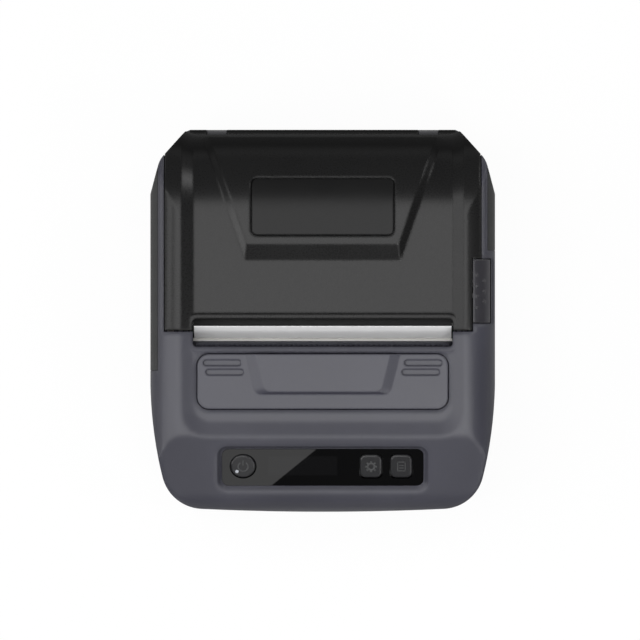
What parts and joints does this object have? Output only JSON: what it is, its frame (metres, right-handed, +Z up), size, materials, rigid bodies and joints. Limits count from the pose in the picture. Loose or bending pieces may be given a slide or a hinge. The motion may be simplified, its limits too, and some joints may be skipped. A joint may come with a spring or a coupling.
{
  "type": "portable receipt printer",
  "caption": "Belt-carried thermal receipt printer with a hinged paper cover, a slot across the middle, a sloping control panel and a shoulder release button.",
  "frame": {"origin": "middle of the footprint, on the surface it lies on", "axes": "+Z up out of the printer's face, -Y towards the control panel, +Y towards the cover's hinge, +X to the right as seen facing the panel"},
  "size_m": [0.107, 0.119, 0.056],
  "materials": {
    "case_grey": "fine matte grain",
    "deck_grey": "fine matte grain",
    "case_dark": "matte",
    "cover_black": "semi-gloss",
    "strip_black": "matte",
    "button_grey": "satin",
    "panel_gloss": "gloss",
    "key_black": "satin",
    "light": "frosted",
    "display": "smoked",
    "battery": "wrapped",
    "steel": "ground",
    "sheet_steel": "zinc plated",
    "spring_steel": "blued",
    "rubber": "ground",
    "feet": "matte",
    "nylon": "moulded",
    "acetal": "moulded",
    "alumina": "glazed strip",
    "heatsink": "anodised",
    "paper": "thermal coated",
    "cardboard": "wound",
    "board": "solder mask",
    "motor": "satin"
  },
  "bodies": {
    "base": {"lower_case": "case_dark", "upper_case": "case_grey", "deck_panel": "deck_grey", "control_panel": "panel_gloss", "display_module": "display", "status_light": "light", "side_strip_left": "strip_black", "side_strip_right": "strip_black", "battery_cover": "case_dark", "battery_pack": "battery", "case_screws": "steel", "rubber_feet": "feet", "usb_socket": "sheet_steel", "main_board": "board", "button_board": "board", "paper_bay": "case_dark", "paper_strip": "paper", "paper_sensor": "acetal", "mechanism_frame": "sheet_steel", "frame_screws": "steel", "pivot_shaft": "steel", "head_spring": "spring_steel", "tear_bar": "case_dark", "stepper_motor": "motor", "idler_shaft": "steel", "latch_pin": "steel", "latch_spring": "spring_steel", "hinge_pin": "steel"},
    "cover": {"paper_cover": "cover_black", "cover_inset": "cover_black", "cover_frame": "sheet_steel", "cover_screws": "steel", "platen_bushes": "acetal"},
    "platen": {"platen_shaft": "steel", "platen_roller": "rubber", "platen_gear": "nylon"},
    "idler": {"idler_gear": "nylon"},
    "pinion": {"motor_pinion": "nylon", "motor_shaft": "steel"},
    "roll": {"paper_roll": "paper", "paper_core": "cardboard"},
    "head": {"print_head": "alumina", "head_heatsink": "heatsink"},
    "release": {"release_button": "button_grey"},
    "latch": {"latch_lever": "sheet_steel"},
    "power": {"power_button": "key_black"},
    "menu": {"menu_button": "key_black"},
    "feed": {"feed_button": "key_black"}
  },
  "joints": [
    {"name": "cover_hinge", "type": "hinge", "parent": "base", "child": "cover", "pos_m": [0, 0.0563, 0.018], "axis": [-1, 0, 0], "range_deg": [0, 90]},
    {"name": "platen_spin", "type": "hinge", "parent": "cover", "child": "platen", "pos_m": [0, -0.00114, 0.0422], "axis": [-1, 0, 0], "continuous": true},
    {"name": "idler_spin", "type": "hinge", "parent": "base", "child": "idler", "pos_m": [-0.0473, -0.01314, 0.04216], "axis": [-1, 0, 0], "continuous": true},
    {"name": "pinion_spin", "type": "hinge", "parent": "base", "child": "pinion", "pos_m": [-0.0473, -0.0205, 0.036], "axis": [-1, 0, 0], "continuous": true},
    {"name": "roll_spin", "type": "hinge", "parent": "base", "child": "roll", "pos_m": [0, 0.0305, 0.0252], "axis": [-1, 0, 0], "continuous": true},
    {"name": "head_swing", "type": "hinge", "parent": "base", "child": "head", "pos_m": [0, -0.0115, 0.0325], "axis": [1, 0, 0], "range_deg": [0, 2.5], "stiffness_Nm_per_rad": 2, "springref_deg": -5.73, "deforming": ["head_spring"]},
    {"name": "release_press", "type": "slide", "parent": "base", "child": "release", "axis": [0, 0, -1], "range_m": [0, 0.0012], "stiffness_N_per_m": 600, "springref_m": -0.002},
    {"name": "latch_swing", "type": "hinge", "parent": "base", "child": "latch", "pos_m": [0.0456, 0.0106, 0.031], "axis": [-1, 0, 0], "range_deg": [0, 10], "deforming": ["latch_spring"]},
    {"name": "power_press", "type": "slide", "parent": "base", "child": "power", "axis": [0, 0.4067, -0.9135], "range_m": [0, 0.0005], "stiffness_N_per_m": 1500, "springref_m": -0.0004},
    {"name": "menu_press", "type": "slide", "parent": "base", "child": "menu", "axis": [0, 0.4067, -0.9135], "range_m": [0, 0.0005], "stiffness_N_per_m": 1500, "springref_m": -0.0004},
    {"name": "feed_press", "type": "slide", "parent": "base", "child": "feed", "axis": [0, 0.4067, -0.9135], "range_m": [0, 0.0005], "stiffness_N_per_m": 1500, "springref_m": -0.0004}
  ],
  "couplings": [
    {"joint": "idler_spin", "follows": "platen_spin", "ratio": -0.81818},
    {"joint": "pinion_spin", "follows": "platen_spin", "ratio": 1.8},
    {"joint": "roll_spin", "follows": "platen_spin", "ratio": 0.24048},
    {"joint": "latch_swing", "follows": "release_press", "rad_per_m": 145.43}
  ]
}
